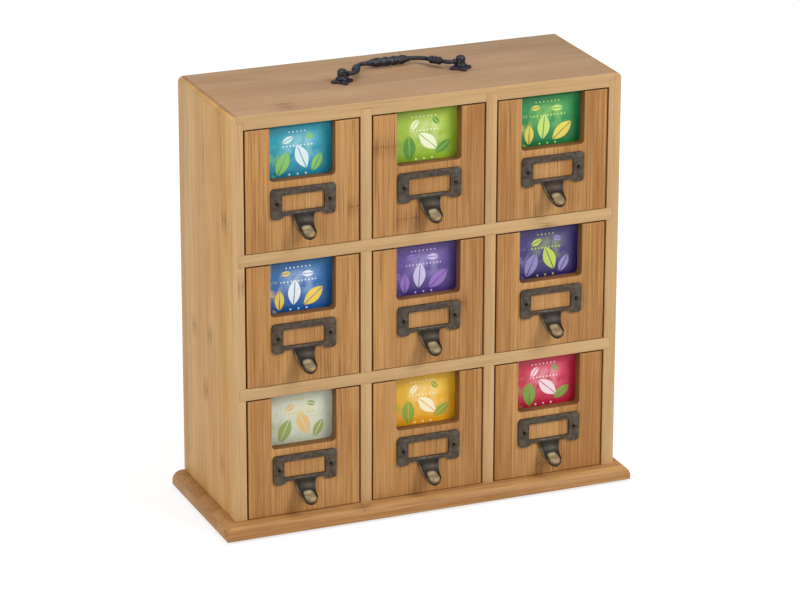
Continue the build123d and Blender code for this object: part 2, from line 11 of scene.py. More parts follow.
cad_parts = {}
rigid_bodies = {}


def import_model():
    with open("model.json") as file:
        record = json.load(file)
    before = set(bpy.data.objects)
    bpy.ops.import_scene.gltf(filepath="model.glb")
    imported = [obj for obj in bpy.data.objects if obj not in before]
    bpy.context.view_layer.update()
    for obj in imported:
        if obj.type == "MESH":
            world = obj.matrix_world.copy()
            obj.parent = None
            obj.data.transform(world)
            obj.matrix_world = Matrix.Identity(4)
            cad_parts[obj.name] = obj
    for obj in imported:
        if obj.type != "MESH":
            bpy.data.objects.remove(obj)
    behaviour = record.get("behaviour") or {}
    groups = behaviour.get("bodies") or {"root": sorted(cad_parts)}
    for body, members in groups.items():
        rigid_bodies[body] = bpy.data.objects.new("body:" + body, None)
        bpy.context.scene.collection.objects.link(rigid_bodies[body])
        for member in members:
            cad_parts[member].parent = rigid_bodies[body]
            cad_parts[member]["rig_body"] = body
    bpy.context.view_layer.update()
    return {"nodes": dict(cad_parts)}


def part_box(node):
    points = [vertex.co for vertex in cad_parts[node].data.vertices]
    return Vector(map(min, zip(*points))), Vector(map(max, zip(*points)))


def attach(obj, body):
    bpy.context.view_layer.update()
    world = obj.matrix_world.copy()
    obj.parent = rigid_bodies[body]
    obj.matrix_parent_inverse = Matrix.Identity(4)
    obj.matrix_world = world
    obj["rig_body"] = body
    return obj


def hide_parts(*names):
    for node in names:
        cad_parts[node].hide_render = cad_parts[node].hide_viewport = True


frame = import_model()

MM = 0.001
ROWS = ("bottom", "middle", "top")
COLUMNS = ("left", "centre", "right")
DRAWERS = [f"drawer_{row}_{column}" for row in ROWS for column in COLUMNS]


# --- small mesh tools ------------------------------------------------------------------
def add_object(name, mesh, *materials):
    """A piece of a mesh. The materials given take the place of the mesh's own."""
    piece = bpy.data.objects.new(name, mesh)
    bpy.context.scene.collection.objects.link(piece)
    if materials:
        mesh.materials.clear()
    for material in materials:
        mesh.materials.append(material)
    return piece


def mesh_from(name, vertices, faces):
    """A smooth mesh whose sizes are given in millimetres."""
    mesh = bpy.data.meshes.new(name)
    mesh.from_pydata([Vector(v) * MM for v in vertices], [], faces)
    mesh.polygons.foreach_set("use_smooth", [True] * len(mesh.polygons))
    mesh.validate()
    return mesh


def bake_modifiers(piece):
    """Replace a piece's mesh by the one that its modifiers give."""
    graph = bpy.context.evaluated_depsgraph_get()
    mesh = bpy.data.meshes.new_from_object(piece.evaluated_get(graph), depsgraph=graph)
    piece.modifiers.clear()
    piece.data = mesh


def bevel(piece, width, segments=2, angle=32):
    """Round every edge sharper than an angle, with flat faces left flat."""
    modifier = piece.modifiers.new("bevel", "BEVEL")
    modifier.width = width * MM
    modifier.segments = segments
    modifier.limit_method = "ANGLE"
    modifier.angle_limit = math.radians(angle)
    modifier.harden_normals = True
    modifier.use_clamp_overlap = True
    bake_modifiers(piece)


def join_meshes(name, parts):
    """One mesh out of several, each (mesh, matrix)."""
    bm = bmesh.new()
    for mesh, matrix in parts:
        part = mesh.copy()
        part.transform(matrix)
        bm.from_mesh(part)
        bpy.data.meshes.remove(part)
    joined = bpy.data.meshes.new(name)
    bm.to_mesh(joined)
    bm.free()
    return joined


def arc(centre_x, centre_y, radius, start, end, steps):
    """Points along an arc, angles in degrees."""
    angles = [math.radians(start + (end - start) * n / steps) for n in range(steps + 1)]
    return [(centre_x + radius * math.cos(a), centre_y + radius * math.sin(a)) for a in angles]


def lathe(name, profile, sides):
    """Turn a profile of (radius, height) points about the Z axis; a radius of 0 closes an end."""
    vertices, faces, rings = [], [], []
    for radius, z in profile:
        if radius == 0:
            rings.append([len(vertices)])
            vertices.append((0, 0, z))
            continue
        rings.append(list(range(len(vertices), len(vertices) + sides)))
        turns = [2 * math.pi * n / sides for n in range(sides)]
        vertices += [(radius * math.cos(a), radius * math.sin(a), z) for a in turns]
    for lower, upper in zip(rings, rings[1:]):
        for n in range(sides):
            m = (n + 1) % sides
            corners = [lower[n % len(lower)], lower[m % len(lower)],
                       upper[m % len(upper)], upper[n % len(upper)]]
            faces.append(tuple(dict.fromkeys(corners)))
    return mesh_from(name, vertices, faces)


def skin(name, rings):
    """Close a row of equal rings of points into one tube with flat ends."""
    sides = len(rings[0])
    vertices = [point for ring in rings for point in ring]
    faces = []
    for r in range(len(rings) - 1):
        for n in range(sides):
            m = (n + 1) % sides
            faces.append((r * sides + n, r * sides + m, (r + 1) * sides + m, (r + 1) * sides + n))
    last = (len(rings) - 1) * sides
    faces.append(tuple(reversed(range(sides))))
    faces.append(tuple(range(last, last + sides)))
    return mesh_from(name, vertices, faces)


def smoothstep(value, low, high):
    """0 up to low, 1 from high on, and smooth between them."""
    t = min(max((value - low) / (high - low), 0.0), 1.0)
    return t * t * (3 - 2 * t)


# --- material tools --------------------------------------------------------------------
def srgb(red, green, blue):
    """A display colour, 0 to 255, as the linear colour that Blender works in."""
    parts = [c / 255 for c in (red, green, blue)]
    return tuple(c / 12.92 if c <= 0.04045 else ((c + 0.055) / 1.055) ** 2.4 for c in parts) + (1.0,)


class Finish:
    """Builds one material's nodes with short calls. Values may be sockets, numbers or tuples."""

    def __init__(self, name, **settings):
        self.material = bpy.data.materials.new(name)
        self.material.use_nodes = True
        self.tree = self.material.node_tree
        self.tree.nodes.clear()
        self.shader = self.add("ShaderNodeBsdfPrincipled", "BSDF")
        output = self.tree.nodes.new("ShaderNodeOutputMaterial")
        self.tree.links.new(self.shader, output.inputs["Surface"])
        self.inputs = self.shader.node.inputs
        for socket, value in settings.items():
            self.set(socket.replace("_", " "), value)

    def put(self, socket, value):
        if isinstance(value, bpy.types.NodeSocket):
            self.tree.links.new(value, socket)
        else:
            socket.default_value = value

    def set(self, name, value):
        """Set or link one input of the surface shader."""
        self.put(self.inputs[name], value)

    def add(self, kind, output=0, inputs=(), **options):
        """A node of a kind: options are its properties, inputs its sockets in pairs."""
        node = self.tree.nodes.new(kind)
        for option, value in options.items():
            setattr(node, option, value)
        for name, value in inputs:
            self.put(node.inputs[name], value)
        return node.outputs[output]

    def math(self, operation, a, b=0.0, clamp=False):
        return self.add("ShaderNodeMath", inputs=((0, a), (1, b)), operation=operation, use_clamp=clamp)

    def times(self, a, b):
        return self.math("MULTIPLY", a, b)

    def plus(self, a, b):
        return self.math("ADD", a, b)

    def less(self, a, b):
        return self.math("SUBTRACT", a, b)

    def split(self, vector):
        node = self.tree.nodes.new("ShaderNodeSeparateXYZ")
        self.put(node.inputs[0], vector)
        return node.outputs

    def join(self, x, y, z):
        return self.add("ShaderNodeCombineXYZ", inputs=((0, x), (1, y), (2, z)))

    def place(self):
        """Where a point of the surface lies on its piece, in millimetres, as x, y and z."""
        coordinates = self.add("ShaderNodeTexCoord", "Object")
        return self.split(self.add("ShaderNodeVectorMath", inputs=((0, coordinates), ("Scale", 1000.0)),
                                   operation="SCALE"))

    def noise(self, vector, scale=1.0, detail=3.0, roughness=0.5, distortion=0.0):
        pairs = (("Vector", vector), ("Scale", scale), ("Detail", detail), ("Roughness", roughness),
                 ("Distortion", distortion))
        return self.add("ShaderNodeTexNoise", inputs=pairs)

    def chance(self, x, y, z):
        """Three random numbers from 0 to 1 for whole-numbered x, y and z."""
        return self.split(self.add("ShaderNodeTexWhiteNoise", 1, ((0, self.join(x, y, z)),),
                                   noise_dimensions="3D"))

    def ease(self, value, low, high, to_low=0.0, to_high=1.0):
        """Smoothly from one number at low to another at high."""
        pairs = ((0, value), (1, low), (2, high), (3, to_low), (4, to_high))
        return self.add("ShaderNodeMapRange", inputs=pairs, interpolation_type="SMOOTHSTEP")

    def blend(self, factor, a, b):
        """Colour a turning into colour b as the factor goes from 0 to 1."""
        node = self.tree.nodes.new("ShaderNodeMix")
        node.data_type = "RGBA"
        node.clamp_factor = True
        for socket, value in ((0, factor), (6, a), (7, b)):
            self.put(node.inputs[socket], value)
        return node.outputs[2]

    def bump(self, height, depth, strength=1.0):
        """A bump whose height 1 stands for a depth in millimetres."""
        pairs = (("Strength", strength), ("Distance", depth * MM), ("Height", height))
        self.set("Normal", self.add("ShaderNodeBump", inputs=pairs))


NODE_PERIOD = 265.0               # millimetres between a bamboo cane's growth nodes
NODE_RAGGEDNESS = 0.022           # share of that period by which a node's line wanders
NODE_LINE, NODE_BRUISE = 1.1, 12.0            # how far its line and its dark fibres reach
ROW_PHASE, BED_PHASE = 0.37, 0.21             # keep the joints of strips off a board's middle


def bamboo(name, along, across, pale, warm, brown, strip, layer, nodes, seed, contrast, sheen=0.3):
    """Laminated bamboo: strips beside each other with their own tone, fibres and growth nodes.

    The axes are letters; strip and layer are the strips' sizes in millimetres across the face
    and through the board, and nodes is the share of strips that shows a growth node.
    """
    f = Finish(name, Specular_IOR_Level=sheen)
    axes = dict(zip("xyz", f.place()))
    through = axes[({"x", "y", "z"} - {along, across}).pop()]
    along, across = axes[along], axes[across]
    row = f.math("FLOOR", f.plus(f.times(across, 1 / strip), seed + ROW_PHASE))
    bed = f.math("FLOOR", f.plus(f.times(through, 1 / layer), seed + BED_PHASE))
    tone, shift, pick = f.chance(row, bed, seed)

    def grain(fine, long, **settings):
        """Noise drawn out along the strips: its two numbers are features per millimetre."""
        return f.noise(f.join(f.times(across, fine), f.times(through, fine),
                              f.plus(f.times(along, long), shift)), **settings)

    fibres = grain(0.70, 0.010, detail=4.0, roughness=0.70)
    lines = grain(1.30, 0.016, detail=2.0, roughness=0.5)
    threads = grain(3.60, 0.060, detail=2.0)
    clouds = grain(0.05, 0.012, detail=2.0)

    mix = f.times(f.less(tone, 0.5), 0.50 * contrast)
    mix = f.plus(mix, f.times(f.less(fibres, 0.5), 2.3 * contrast))
    mix = f.plus(mix, f.less(clouds, 0.5))
    colour = f.blend(f.math("ADD", mix, 0.5, clamp=True), pale, warm)
    colour = f.blend(f.ease(lines, 0.54, 0.74, 0.0, 0.50 * contrast), colour, brown)
    colour = f.blend(f.ease(threads, 0.55, 0.75, 0.0, 0.25 * contrast), colour, brown)

    # growth nodes: a thin ragged line across a strip, with short dark fibres beside it
    ragged = f.noise(f.join(f.times(across, 0.55), f.times(through, 0.55), f.times(along, 0.2)))
    spot = f.plus(f.times(along, 1 / NODE_PERIOD), shift)
    spot = f.plus(spot, f.times(f.less(ragged, 0.5), NODE_RAGGEDNESS))
    distance = f.times(f.math("ABSOLUTE", f.less(f.math("FRACT", spot), 0.5)), NODE_PERIOD)
    shown = f.math("LESS_THAN", pick, nodes)
    line = f.times(f.ease(distance, 0.3, NODE_LINE, 0.55, 0.0), shown)
    bruised = f.times(shown, f.ease(lines, 0.36, 0.60, 0.05, 1.0))
    bruise = f.times(f.ease(distance, 1.0, NODE_BRUISE, 0.50, 0.0), bruised)
    colour = f.blend(bruise, colour, brown)
    colour = f.blend(f.times(line, f.ease(ragged, 0.30, 0.62, 1.0, 0.3)), colour, brown)
    f.set("Base Color", colour)
    f.set("Roughness", f.ease(threads, 0.3, 0.8, 0.44, 0.60))
    relief = f.plus(f.times(fibres, 0.5), f.times(line, -0.6))
    f.bump(f.plus(f.times(threads, 0.5), relief), 0.09, 0.5)
    return f.material


# The pulls' painted dark reflection, painted highlights and finger wear, in millimetres below the frame's
# top edge, as the eye sees it from a little above
EYE_SLOPE = 0.333
HOLLOW_FROM, HOLLOW_WIDE, HOLLOW_NARROW = 17.6, 8.2, 6.8
PATCH_MIDDLE, PATCH_HALF_HEIGHT, PATCH_HALF_WIDTH = 33.2, 4.2, 3.7
# painted highlight: the depths at which the patch is painted brightest and dimmest
PATCH_BRIGHT, PATCH_DIM = 30.5, 35.5
TONGUE_STARTS, TONGUE_STANDS_OUT = -1.9, -3.0             # y where it leaves the frame


def antique_bronze():
    """Cast bronze with a mottled patina, a painted dark reflection in the tongue's hollow, and a brassy
    patch polished by fingers that carries a painted highlight.
    """
    f = Finish("antique_bronze", Metallic=1.0)
    x, y, z = f.place()
    here = f.join(x, y, z)
    mottle = f.noise(here, 0.30, 3.0, 0.55)
    pits = f.noise(here, 1.6, 3.0, 0.55)
    patina = f.blend(f.ease(mottle, 0.35, 0.68), srgb(76, 67, 59), srgb(104, 95, 84))
    patina = f.blend(f.ease(pits, 0.50, 0.72, 0.0, 0.5), patina, srgb(60, 50, 42))

    # painted dark reflection in the tongue's hollow, and the oval patch at its end that fingers rub,
    # polished by them and given a painted highlight
    side = f.math("ABSOLUTE", x)
    down = f.less(f.times(y, -EYE_SLOPE), z)
    hollow = f.times(f.ease(down, HOLLOW_FROM, HOLLOW_FROM + 1.0), f.ease(side, HOLLOW_WIDE, HOLLOW_NARROW))
    hollow = f.times(hollow, f.ease(y, TONGUE_STARTS + 0.24, TONGUE_STARTS))
    colour = f.blend(f.times(hollow, 0.82), patina, srgb(46, 42, 39))
    high = f.times(f.less(down, PATCH_MIDDLE), 1 / PATCH_HALF_HEIGHT)
    wide = f.times(side, 1 / PATCH_HALF_WIDTH)
    oval = f.plus(f.math("POWER", f.math("ABSOLUTE", high), 3.0), f.math("POWER", wide, 3.0))
    rubbed_and_highlight = f.times(f.ease(oval, 1.9, 0.3), f.ease(y, TONGUE_STANDS_OUT, TONGUE_STANDS_OUT - 1.0))
    rubbed_and_highlight = f.times(rubbed_and_highlight, f.ease(mottle, 0.25, 0.55, 0.70, 1.0))
    # the patch's brassy colour is finger wear; its fading from bright at the top to dim below is a painted
    # highlight
    brass_and_highlight = f.blend(f.ease(down, PATCH_BRIGHT, PATCH_DIM), srgb(216, 200, 162), srgb(116, 98, 72))
    colour = f.blend(rubbed_and_highlight, colour, brass_and_highlight)

    # painted highlight: a thin light line along the tongue's outline
    z_window = -UPPER_RAIL - WINDOW_HEIGHT
    z_tip = z_window - (HOLLOW_RADIUS + NOSE_RADIUS) * math.sin(math.radians(SWEEP))
    taper = (TONGUE_ROOT - TONGUE_TIP) / 2 / (z_window - LOWER_RAIL - z_tip)
    inside = f.less(f.plus(f.times(z, taper), TONGUE_TIP / 2 - taper * z_tip), side)
    edge_highlight = f.times(f.ease(inside, 0.9, 0.3, 0.0, 0.5), f.ease(y, TONGUE_STARTS, TONGUE_STARTS - 0.7))
    colour = f.blend(edge_highlight, colour, srgb(168, 148, 110))
    f.set("Base Color", colour)
    f.set("Roughness", f.ease(mottle, 0.3, 0.7, 0.40, 0.54))
    f.bump(f.plus(f.times(mottle, 0.6), f.times(pits, 0.4)), 0.16, 0.5)
    return f.material


def forged_iron():
    """Black iron with hammer marks and a little brown in the low places."""
    f = Finish("forged_iron", Metallic=0.6, Specular_IOR_Level=0.6)
    x, y, z = f.place()
    here = f.join(x, y, z)
    dents = f.add("ShaderNodeTexVoronoi", 0, (("Vector", here), ("Scale", 0.5)), feature="SMOOTH_F1")
    grain = f.noise(here, 1.4, 4.0, 0.6)
    colour = f.blend(f.ease(grain, 0.40, 0.64), srgb(24, 22, 25), srgb(74, 74, 84))
    colour = f.blend(f.ease(dents, 0.40, 0.80, 0.0, 0.6), colour, srgb(34, 26, 24))
    f.set("Base Color", colour)
    f.set("Roughness", f.ease(grain, 0.3, 0.7, 0.24, 0.44))
    f.bump(f.plus(f.times(dents, 0.9), f.times(grain, 0.4)), 0.6, 0.9)
    return f.material


def plain_metal(name, colour, roughness):
    """A small fastener's metal, slightly uneven."""
    f = Finish(name, Metallic=1.0)
    grain = f.noise(f.join(*f.place()), 1.8, 3.0)
    f.set("Base Color", f.blend(grain, colour, tuple(c * 0.6 for c in colour[:3]) + (1.0,)))
    f.set("Roughness", f.ease(grain, 0.3, 0.7, roughness - 0.08, roughness + 0.1))
    f.bump(grain, 0.05, 0.5)
    return f.material


def black_rubber():
    """Dull rubber with a fine grain."""
    f = Finish("black_rubber", Specular_IOR_Level=0.3)
    grain = f.noise(f.join(*f.place()), 3.0, 4.0)
    f.set("Base Color", f.blend(grain, srgb(38, 34, 31), srgb(58, 52, 47)))
    f.set("Roughness", f.ease(grain, 0.3, 0.7, 0.7, 0.88))
    f.bump(grain, 0.05, 0.5)
    return f.material


SACHET_HALF_WIDTH = 33.0
SACHET_TOP = 39.7                 # the middle of a sachet is its place
SEAL_FROM, SEAL_FULL, RIB_PITCH = 33.5, 34.5, 1.1             # crimped ends
CLOUD_X, CLOUD_Z, CLOUD_HALF_WIDTH, CLOUD_HALF_HEIGHT = 2.0, 24.0, 17.0, 13.0


def leaf_shape(f, x, z, centre, length, width, angle):
    """1 inside a pointed leaf about a centre, 0 outside, with its middle vein left out."""
    turn = math.radians(angle)
    dx, dz = f.less(x, centre[0]), f.less(z, centre[1])
    u = f.plus(f.times(dx, math.cos(turn)), f.times(dz, math.sin(turn)))
    v = f.math("ABSOLUTE", f.less(f.times(dz, math.cos(turn)), f.times(dx, math.sin(turn))))
    reach = f.times(u, 2 / length)
    edge = f.times(f.less(1.0, f.times(reach, reach)), width / 2)
    inside = f.ease(f.less(edge, v), 0.0, 0.25)
    return f.times(inside, f.ease(v, 0.2, 0.45))


def dot_row(f, x, z, level, pitch, radius, half_width):
    """A row of small dots at one level."""
    dx = f.times(f.less(f.math("FRACT", f.plus(f.times(x, 1 / pitch), 0.5)), 0.5), pitch)
    dz = f.less(z, level)
    distance = f.math("SQRT", f.plus(f.times(dx, dx), f.times(dz, dz)))
    within = f.math("LESS_THAN", f.math("ABSOLUTE", x), half_width)
    return f.times(f.ease(distance, radius + 0.2, radius), within)


def sachet_paper(name, ground, deep, motif, accent, leaves, dots):
    """Coated paper in one colour with a few printed leaves and dots, and crimped ends."""
    f = Finish(name, Roughness=0.34, Specular_IOR_Level=0.5, Coat_Weight=0.25, Coat_Roughness=0.2)
    x, y, z = f.place()
    here = f.join(x, y, z)
    wash = f.noise(here, 0.075, 3.0, 0.6)
    light = f.plus(f.ease(z, 2.0, 30.0, 0.1, 0.75), f.times(f.less(wash, 0.5), 1.6))
    colour = f.blend(f.math("ADD", light, 0.0, clamp=True), deep, ground)
    beside, above = f.math("ABSOLUTE", f.less(x, CLOUD_X)), f.math("ABSOLUTE", f.less(z, CLOUD_Z))
    cloud = f.times(f.ease(beside, CLOUD_HALF_WIDTH, 3.0), f.ease(above, CLOUD_HALF_HEIGHT, 2.0))
    colour = f.blend(f.times(cloud, f.ease(wash, 0.38, 0.60, 0.0, 0.38)), colour, motif)
    blotch = f.times(f.ease(x, -10.0, -18.0), f.ease(wash, 0.46, 0.58, 0.0, 0.65))
    colour = f.blend(blotch, colour, accent)
    for number, (place, length, width, angle) in enumerate(leaves):
        ink = (accent, motif)[number % 2]
        colour = f.blend(leaf_shape(f, x, z, place, length, width, angle), colour, ink)
    for level, pitch, radius, half_width in dots:
        colour = f.blend(dot_row(f, x, z, level, pitch, radius, half_width), colour, motif)
    f.set("Base Color", colour)
    sealed = f.ease(f.math("ABSOLUTE", z), SEAL_FROM, SEAL_FULL)
    ribs = f.times(f.math("SINE", f.times(x, 2 * math.pi / RIB_PITCH)), sealed)
    creases = f.noise(here, 0.16, 3.0, 0.55, 0.6)
    f.bump(f.plus(f.times(ribs, 0.22), creases), 0.5, 0.7)
    return f.material


def make_materials():
    brown = srgb(120, 76, 38)
    return {
        "side": bamboo("bamboo_side", "z", "y", srgb(218, 177, 114), srgb(190, 138, 74), srgb(140, 88, 40),
                       strip=10.5, layer=9.0, nodes=0.4, seed=3.0, contrast=0.95),
        "top": bamboo("bamboo_top", "x", "y", srgb(182, 150, 117), srgb(160, 124, 90), srgb(116, 80, 52),
                      strip=19.0, layer=5.0, nodes=0.35, seed=11.0, contrast=0.60),
        "base": bamboo("bamboo_base", "x", "y", srgb(198, 152, 96), srgb(162, 112, 62), srgb(98, 58, 28),
                       strip=14.0, layer=5.0, nodes=0.5, seed=23.0, contrast=1.0),
        "rails": bamboo("bamboo_rails", "x", "z", srgb(208, 174, 126), srgb(188, 150, 102), brown,
                        strip=4.25, layer=30.0, nodes=0.3, seed=31.0, contrast=0.60),
        "uprights": bamboo("bamboo_uprights", "z", "x", srgb(208, 172, 124), srgb(186, 146, 98), brown,
                           strip=4.5, layer=30.0, nodes=0.35, seed=43.0, contrast=0.60),
        "front": bamboo("bamboo_front", "z", "x", srgb(200, 153, 94), srgb(164, 111, 58), srgb(108, 60, 26),
                        strip=18.0, layer=4.0, nodes=0.5, seed=57.0, contrast=1.2),
        "ends": bamboo("bamboo_ends", "z", "y", srgb(182, 138, 92), srgb(156, 110, 66), srgb(104, 64, 32),
                       strip=10.5, layer=9.0, nodes=0.0, seed=3.0, contrast=1.2),
        # painted shade: darker bamboo on the drawer fronts' side faces and notch walls, standing for the
        # shadow in the gaps and notches
        "cut": bamboo("bamboo_cut", "z", "x", srgb(142, 100, 60), srgb(112, 74, 42), srgb(70, 42, 22),
                      strip=18.0, layer=4.0, nodes=0.0, seed=57.0, contrast=0.8, sheen=0.15),
        "inner": bamboo("bamboo_inner", "y", "z", srgb(196, 152, 100), srgb(170, 122, 74), brown,
                        strip=7.0, layer=5.0, nodes=0.25, seed=71.0, contrast=0.8),
        "back": bamboo("bamboo_back", "z", "x", srgb(200, 158, 104), srgb(176, 128, 76), brown,
                       strip=21.0, layer=4.0, nodes=0.4, seed=83.0, contrast=0.7),
        "bronze": antique_bronze(),
        "iron": forged_iron(),
        "pin": plain_metal("blackened_pin", srgb(46, 40, 36), 0.42),
        "steel": plain_metal("zinc_screw", srgb(176, 176, 172), 0.34),
        "rubber": black_rubber(),
    }


# --- wooden boards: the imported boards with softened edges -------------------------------
# Tests of a face's normal: which way it looks
def faces_front(normal):
    return normal.y < -0.9


def faces_up(normal):
    return normal.z > 0.9


def faces_aside(normal):
    return abs(normal.y) < 0.5


def softened(node, width, material, others=()):
    """A copy of a board with its edges rounded, which stands in for it.

    The others are pairs: a test of a face's normal and the material of the faces that pass it.
    """
    source = frame["nodes"][node]
    mesh = source.data.copy()
    bm = bmesh.new()
    bm.from_mesh(mesh)
    bmesh.ops.remove_doubles(bm, verts=bm.verts, dist=0.002 * MM)
    bmesh.ops.dissolve_limit(bm, angle_limit=math.radians(1.0), verts=bm.verts, edges=bm.edges)
    bmesh.ops.recalc_face_normals(bm, faces=bm.faces)
    for face in bm.faces:
        face.smooth = True
    for edge in bm.edges:
        edge.smooth = len(edge.link_faces) == 2
    bm.to_mesh(mesh)
    bm.free()
    mesh.update()
    piece = add_object(node + "_wood", mesh, material, *[other for _, other in others])
    for number, (test, _) in enumerate(others):
        for face in mesh.polygons:
            if test(face.normal):
                face.material_index = number + 1
    bevel(piece, width)
    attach(piece, source["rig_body"])
    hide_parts(node)
    return piece


def dress_boards(materials):
    """Case, drawer fronts and drawer boxes, each with the bamboo that its faces show."""
    upright_front = (faces_front, materials["uprights"])
    boards = {
        "base_board": (0.6, "base", ()),
        "side_panel_left": (0.5, "side", (upright_front, (faces_up, materials["ends"]))),
        "side_panel_right": (0.5, "side", (upright_front, (faces_up, materials["ends"]))),
        "top_panel": (0.5, "top", [(faces_front, materials["rails"])]),
        "back_panel": (0.4, "back", ()),
        "shelf_lower": (0.3, "rails", ()),
        "shelf_upper": (0.3, "rails", ()),
        "divider_left": (0.3, "uprights", ()),
        "divider_right": (0.3, "uprights", ()),
    }
    for node, (width, finish, others) in boards.items():
        softened(node, width, materials[finish], others)
    for drawer in DRAWERS:
        # painted shade: a front's faces that look aside take the darker bamboo
        softened(drawer + "_front", 0.35, materials["front"],
                 [(faces_aside, materials["cut"])])
        softened(drawer + "_box", 0.3, materials["inner"])


# --- label pulls: drawn about the middle of the frame's top edge, on the drawer's face ---
WINDOW_WIDTH, WINDOW_HEIGHT, WINDOW_CORNER = 31.0, 12.0, 0.6
STILE, UPPER_RAIL, LOWER_RAIL = 8.15, 4.7, 2.7
PLATE_THICKNESS, PLATE_CORNER, PLATE_BEVEL = 1.6, 2.6, 0.5
LOBE_WIDTH, LOBE_DROP, LOBE_BLEND = 7.5, 2.2, 2.6
TONGUE_ROOT, TONGUE_TIP, TONGUE_TIP_FLAT, TONGUE_FLARE = 16.8, 9.4, 1.4, 1.8
HOLLOW_RADIUS, NOSE_RADIUS, SWEEP = 13.0, 5.4, 74.0
HOLLOW_STEPS, NOSE_STEPS = 28, 26
SKIRT_GROWS = (10, 34)            # degrees of the first curve over which the skirt grows
TONGUE_SKIRT, TONGUE_RIM, TONGUE_EDGE, TONGUE_CROWN = 1.0, 1.2, 0.8, 0.5
PIN_FROM_WINDOW, PIN_HEAD, PIN_HEAD_HEIGHT, PIN_SHANK, PIN_DEPTH = 3.8, 1.35, 0.8, 1.5, 7.0


def plate_outline():
    """The frame's outer edge, clockwise from the top right corner, as (x, z)."""
    half = WINDOW_WIDTH / 2 + STILE
    edge = -(UPPER_RAIL + WINDOW_HEIGHT + LOWER_RAIL)
    lobe = edge - LOBE_DROP
    r = PLATE_CORNER
    lobe_inner = half - LOBE_WIDTH
    right = arc(half - r, -r, r, 90, 0, 6) + arc(half - r, lobe + r, r, 0, -90, 6)
    ease_steps = 6
    for n in range(ease_steps + 1):
        t = n / ease_steps
        right.append((lobe_inner - t * LOBE_BLEND, lobe + LOBE_DROP * smoothstep(t, 0, 1)))
    return right + [(-x, z) for x, z in reversed(right)]


def window_outline():
    """The edge of the opening for the card, clockwise from its top right corner, as (x, z)."""
    half, r = WINDOW_WIDTH / 2, WINDOW_CORNER
    top, bottom = -UPPER_RAIL, -UPPER_RAIL - WINDOW_HEIGHT
    corners = ((half - r, top - r, 90), (half - r, bottom + r, 0),
               (-half + r, bottom + r, -90), (-half + r, top - r, -180))
    return [point for x, z, start in corners for point in arc(x, z, r, start, start - 90, 3)]


def pull_plate_mesh():
    """The card frame: a plate with a window, its edges rounded."""
    bm = bmesh.new()
    edges = []
    for outline in (plate_outline(), window_outline()):
        points = [bm.verts.new((x * MM, 0, z * MM)) for x, z in outline]
        edges += [bm.edges.new((points[n - 1], points[n])) for n in range(len(points))]
    bmesh.ops.triangle_fill(bm, use_beauty=True, edges=edges)
    extruded = bmesh.ops.extrude_face_region(bm, geom=bm.faces[:])
    moved = [v for v in extruded["geom"] if isinstance(v, bmesh.types.BMVert)]
    bmesh.ops.translate(bm, verts=moved, vec=(0, -PLATE_THICKNESS * MM, 0))
    bmesh.ops.recalc_face_normals(bm, faces=bm.faces)
    for face in bm.faces:
        face.smooth = True
    mesh = bpy.data.meshes.new("pull_plate")
    bm.to_mesh(mesh)
    bm.free()
    piece = add_object("pull_plate_draft", mesh)
    bevel(piece, PLATE_BEVEL, 3, 40)
    mesh = piece.data
    bpy.data.objects.remove(piece)
    return mesh


def tongue_half_width(z, z_root, z_tip):
    """Half the tongue's width at a level: a taper, a flare at its root and a round tip."""
    root, tip = TONGUE_ROOT / 2, TONGUE_TIP / 2
    width = tip + (root - tip) * (z - z_tip) / (z_root - z_tip)
    below = min(max(z_root - z, 0.0), TONGUE_FLARE)
    width += TONGUE_FLARE - math.sqrt(TONGUE_FLARE ** 2 - (TONGUE_FLARE - below) ** 2)
    corner = tip - TONGUE_TIP_FLAT / 2
    if z < z_tip + corner:
        rise = z_tip + corner - z
        width = min(width, TONGUE_TIP_FLAT / 2 + math.sqrt(max(corner ** 2 - rise ** 2, 0.0)))
    return width


def tongue_section(half, skirt, crown):
    """Half of the tongue's hollow section: (across, outwards) from the crown round to the inside."""
    face, rim = PLATE_THICKNESS / 2, min(TONGUE_RIM, 0.45 * half)
    corner = min(TONGUE_EDGE, 0.4 * half)
    flat = half - corner
    points = [(flat * t, face - crown * t * t) for t in (0.0, 0.35, 0.65, 0.85, 1.0)]
    points += [(flat + corner * math.sin(t), face - crown - corner * (1 - math.cos(t)))
               for t in (math.radians(a) for a in (22, 45, 68, 90))]
    inside = half - rim
    points += [(half, -skirt + 0.3), (half - 0.3, -skirt), (inside + 0.2, -skirt), (inside, -skirt + 0.2)]
    points += [(inside, -face - 0.05), (inside - 0.2, -face), (0.5 * inside, -face)]
    return points


def tongue_mesh():
    """The finger tongue: a hollow cast section with a rounded edge, carried along two curves."""
    z_window = -UPPER_RAIL - WINDOW_HEIGHT
    z_root = z_window - LOWER_RAIL
    middle = -PLATE_THICKNESS / 2
    turn = math.radians(SWEEP)
    nose_y = middle - HOLLOW_RADIUS + (HOLLOW_RADIUS + NOSE_RADIUS) * math.cos(turn)
    nose_z = z_window - (HOLLOW_RADIUS + NOSE_RADIUS) * math.sin(turn)
    hollow = [turn * n / HOLLOW_STEPS for n in range(1, HOLLOW_STEPS + 1)]
    nose = [turn * (1 - n / NOSE_STEPS) for n in range(1, NOSE_STEPS + 1)]
    stations = [(middle - HOLLOW_RADIUS * (1 - math.cos(a)), z_window - HOLLOW_RADIUS * math.sin(a), a)
                for a in hollow]
    stations += [(nose_y - NOSE_RADIUS * math.cos(a), nose_z + NOSE_RADIUS * math.sin(a), a) for a in nose]
    rings = []
    for n, (y, z, slope) in enumerate(stations):
        low, high = SKIRT_GROWS if n < len(hollow) else (0, 50)
        grown = smoothstep(math.degrees(slope), low, high)
        skirt = PLATE_THICKNESS / 2 + TONGUE_SKIRT * grown
        crown = TONGUE_CROWN * (grown if n < len(hollow) else 1.0)
        right = tongue_section(tongue_half_width(z, z_root, nose_z), skirt, crown)
        section = right + [(-across, out) for across, out in reversed(right[1:])]
        rings.append([(across, y - out * math.cos(slope), z + out * math.sin(slope))
                      for across, out in section])
    return skin("pull_tongue", rings)


